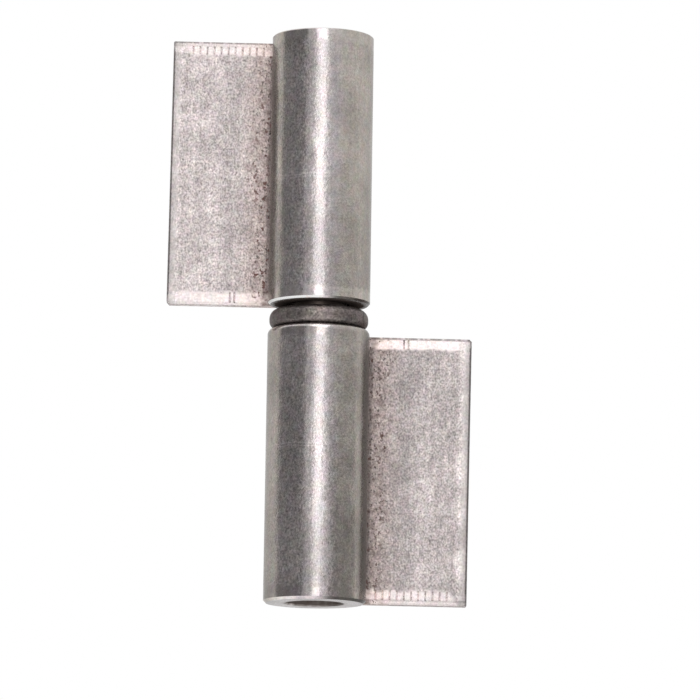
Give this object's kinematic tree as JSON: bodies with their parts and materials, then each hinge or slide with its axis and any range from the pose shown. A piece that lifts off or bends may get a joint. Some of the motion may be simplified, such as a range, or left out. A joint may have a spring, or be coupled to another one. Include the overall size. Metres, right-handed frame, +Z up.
{
  "type": "weld-on barrel hinge",
  "caption": "Lift-off weld-on hinge: an upper and a lower steel barrel turn on a fixed pin with a thrust washer between them, each with a bevelled flag leaf.",
  "frame": {"origin": "on the pin's axis, at the foot of the lower barrel", "axes": "+Z up along the pin, +X towards the lower leaf's free edge, +Y out of the back that both leaves are welded on by"},
  "size_m": [0.0604, 0.02, 0.1128],
  "materials": {
    "drawn_steel": "cold drawn, unpainted",
    "plate_steel": "pickled plate, unpainted",
    "washer_steel": "dark, dull",
    "pin_steel": "turned, oiled"
  },
  "bodies": {
    "lower_half": {"lower_barrel": "drawn_steel", "lower_leaf": "plate_steel", "hinge_pin": "pin_steel"},
    "washer": {"thrust_washer": "washer_steel"},
    "upper_half": {"upper_barrel": "drawn_steel", "upper_leaf": "plate_steel"}
  },
  "joints": [
    {"name": "hinge_turn", "type": "hinge", "parent": "lower_half", "child": "washer", "pos_m": [0, 0, 0.0559], "axis": [0, 0, 1], "continuous": true},
    {"name": "lift_off", "type": "slide", "parent": "washer", "child": "upper_half", "axis": [0, 0, 1], "range_m": [0, 0.045]}
  ]
}
